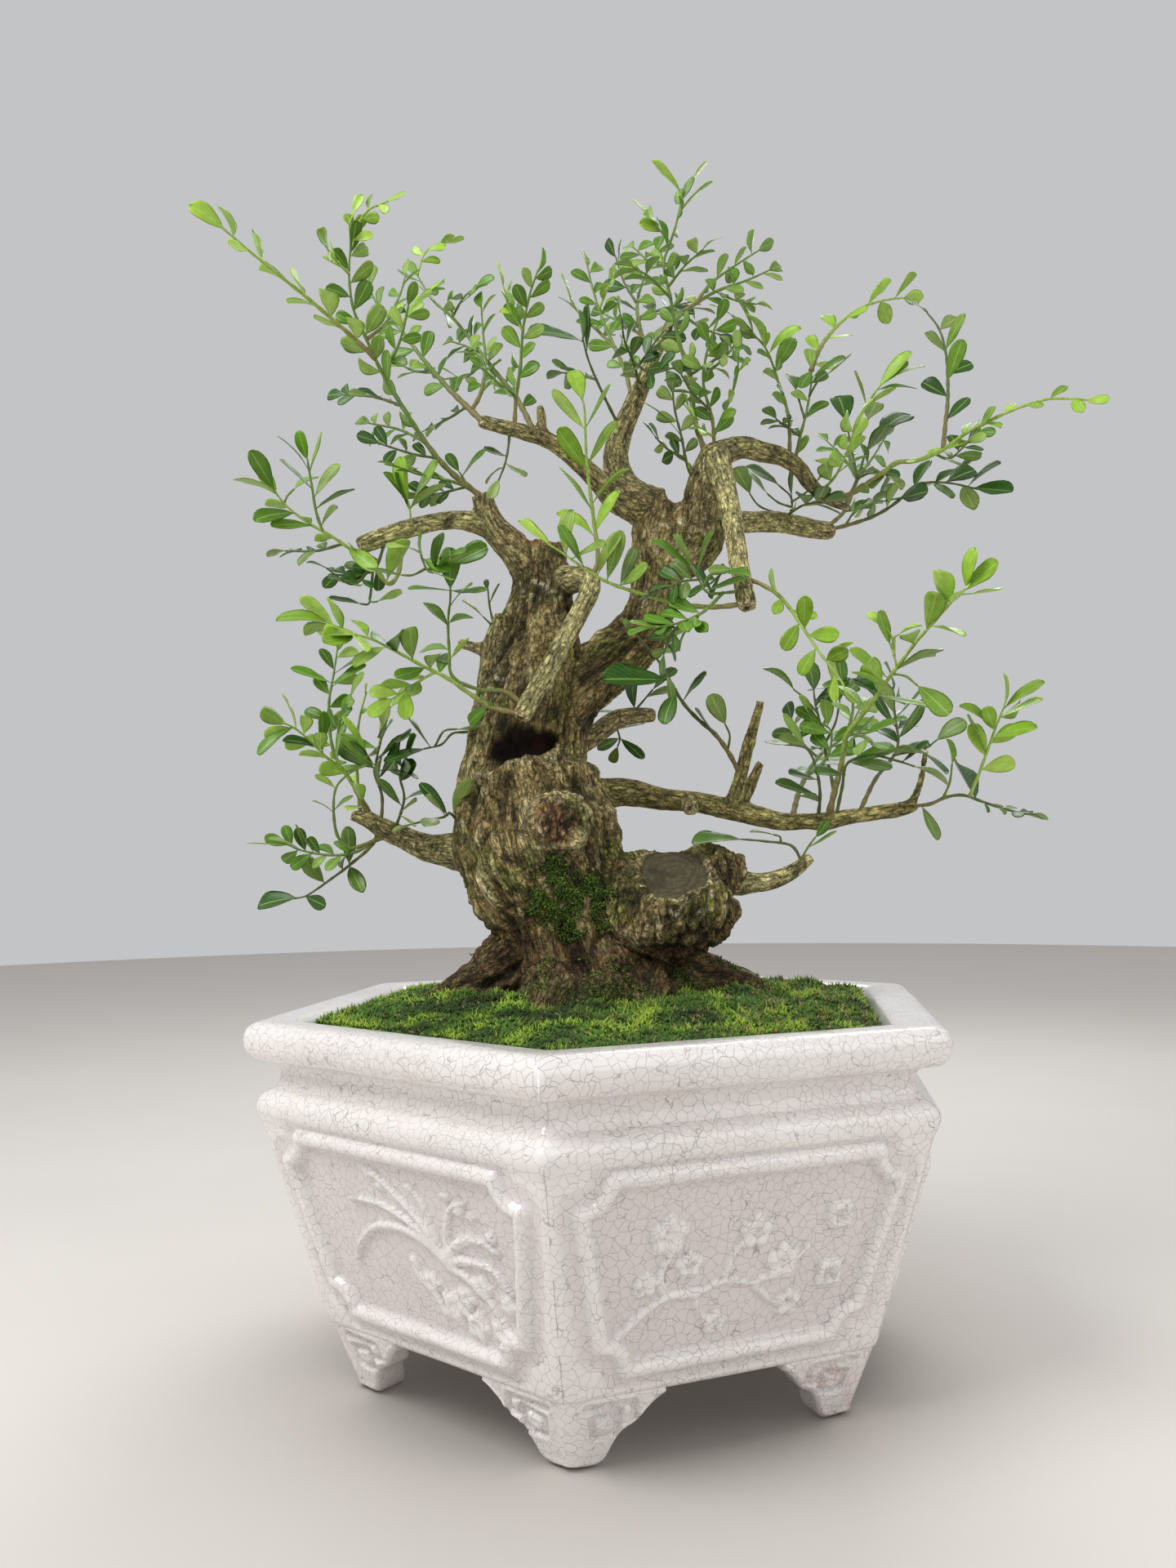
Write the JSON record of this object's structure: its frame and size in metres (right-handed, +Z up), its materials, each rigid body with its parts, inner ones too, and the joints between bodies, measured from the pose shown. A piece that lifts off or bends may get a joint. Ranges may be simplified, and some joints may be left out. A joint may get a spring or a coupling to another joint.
{
  "type": "orange jasmine bonsai",
  "caption": "Bonsai tree with a thick gnarled trunk, bare cut limbs and sparse small-leaved shoots, growing from moss in a white crackle-glazed six-sided pot on bracket feet.",
  "frame": {"origin": "middle of the whole object's footprint, on the ground that the pot's feet stand on", "axes": "+Z up along the tree, +Y from the front corner of the pot to its back corner, +X to the viewer's right as the tree is shown"},
  "size_m": [0.3906, 0.3182, 0.5712],
  "materials": {
    "glaze": "gloss",
    "bark": "matte",
    "moss": "matte",
    "soil": "matte",
    "mesh_plastic": "matte",
    "leaf_young": "satin",
    "leaf_mid": "satin",
    "leaf_dark": "satin"
  },
  "bodies": {
    "root": {"pot": "glaze", "drain_mesh": "mesh_plastic", "soil": "soil", "moss": "moss", "trunk": "bark", "trunk_moss": "moss", "upper_left_shoot": "leaf_mid", "upper_left_inner_shoot": "leaf_mid", "upper_left_arch_shoot": "leaf_mid", "upper_middle_shoot": "leaf_mid", "hanging_left_shoot": "leaf_dark", "crown_leader_shoot": "leaf_mid", "crown_fan_shoot": "leaf_mid", "crown_right_shoot": "leaf_mid", "crown_left_shoot": "leaf_mid", "crown_dark_shoot": "leaf_dark", "crown_inner_shoot": "leaf_dark", "crown_back_shoot": "leaf_mid", "inner_right_shoot": "leaf_dark", "bright_front_shoot": "leaf_young", "long_stub_shoot": "leaf_young", "stub_cluster_shoot": "leaf_mid", "stub_right_shoot": "leaf_young", "middle_dark_shoot": "leaf_dark", "behind_dark_shoot": "leaf_dark", "behind_low_shoot": "leaf_dark", "right_crown_shoot": "leaf_mid", "right_arch_shoot": "leaf_mid", "right_long_shoot": "leaf_young", "right_fountain_shoot": "leaf_young", "right_narrow_shoot": "leaf_dark", "right_low_arc_shoot": "leaf_dark", "right_inner_shoot": "leaf_dark", "right_back_shoot": "leaf_mid", "pale_branch_shoot": "leaf_young", "pale_branch_low_shoot": "leaf_dark", "glossy_pair_shoot": "leaf_young", "left_leafy_shoot": "leaf_mid", "crossing_stub_shoot": "leaf_young", "crossing_tall_shoot": "leaf_mid", "left_ridge_shoot": "leaf_dark", "left_middle_shoot": "leaf_dark", "left_trunk_twig": "leaf_dark", "low_left_shoot": "leaf_young", "low_left_upright_shoot": "leaf_mid", "low_left_dark_shoot": "leaf_dark", "low_left_bud_shoot": "leaf_young", "low_left_right_shoot": "leaf_dark", "low_left_thin_shoot": "leaf_mid", "low_left_flat_shoot": "leaf_mid", "low_left_hanging_shoot": "leaf_dark", "knob_shoot": "leaf_dark", "low_right_main_shoot": "leaf_young", "low_right_left_shoot": "leaf_dark", "low_right_tall_shoot": "leaf_dark", "low_right_wide_shoot": "leaf_dark", "low_right_upper_shoot": "leaf_dark", "low_right_end_shoot": "leaf_dark", "low_right_back_shoot": "leaf_mid"}
  },
  "joints": []
}
